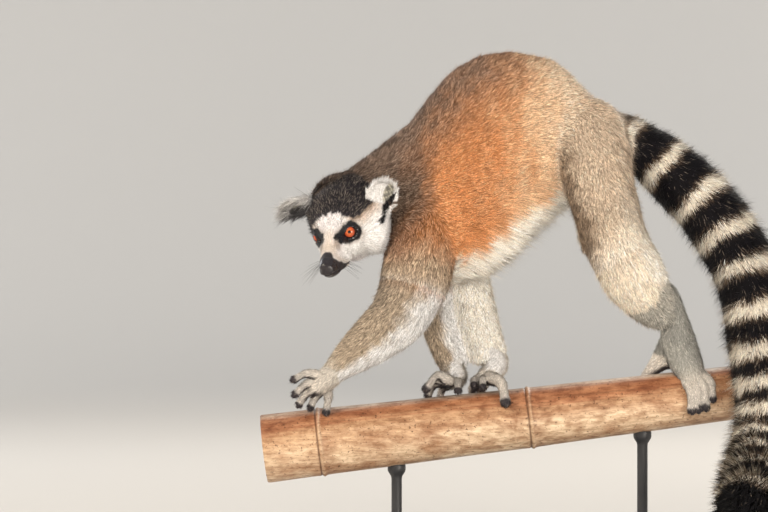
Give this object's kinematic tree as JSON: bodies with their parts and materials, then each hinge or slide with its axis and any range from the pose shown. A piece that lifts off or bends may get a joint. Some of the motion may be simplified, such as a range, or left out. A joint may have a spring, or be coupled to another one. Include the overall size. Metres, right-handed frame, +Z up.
{
  "type": "ring-tailed lemur model",
  "caption": "Still life-size museum model of a ring-tailed lemur walking along a length of bamboo with its ringed tail hanging, held up by a plain display stand.",
  "frame": {"origin": "middle of the underside of the stand's base, on the floor", "axes": "+Z up. The animal faces -X and its left side is to -Y. The bamboo and the base run along X."},
  "size_m": [0.5602, 0.2903, 0.5516],
  "materials": {
    "coat_grey": "dense grizzled fur",
    "coat_rufous": "dense soft fur",
    "coat_white": "short fur",
    "coat_tail": "long ringed fur",
    "dark_skin": "bare moist skin, nails and pads",
    "eye": "gloss",
    "bamboo": "weathered satin culm",
    "stand_metal": "satin"
  },
  "bodies": {
    "root": {"abdomen": "coat_rufous", "chest": "coat_rufous", "ear_left": "coat_white", "ear_right": "coat_white", "eye_left": "eye", "eye_right": "eye", "foot_left": "coat_white", "foot_right": "coat_white", "forearm_left": "coat_grey", "forearm_right": "coat_grey", "hand_left": "coat_white", "hand_right": "coat_white", "head": "coat_grey", "jaw": "coat_white", "neck": "coat_grey", "nose": "dark_skin", "perch_bamboo": "bamboo", "rump": "coat_grey", "shank_left": "coat_grey", "shank_right": "coat_grey", "stand_base": "stand_metal", "stand_rod_front": "stand_metal", "stand_rod_rear": "stand_metal", "tail_1": "coat_tail", "tail_2": "coat_tail", "tail_3": "coat_tail", "tail_4": "coat_tail", "thigh_left": "coat_grey", "thigh_right": "coat_grey", "upper_arm_left": "coat_grey", "upper_arm_right": "coat_grey"}
  },
  "joints": []
}
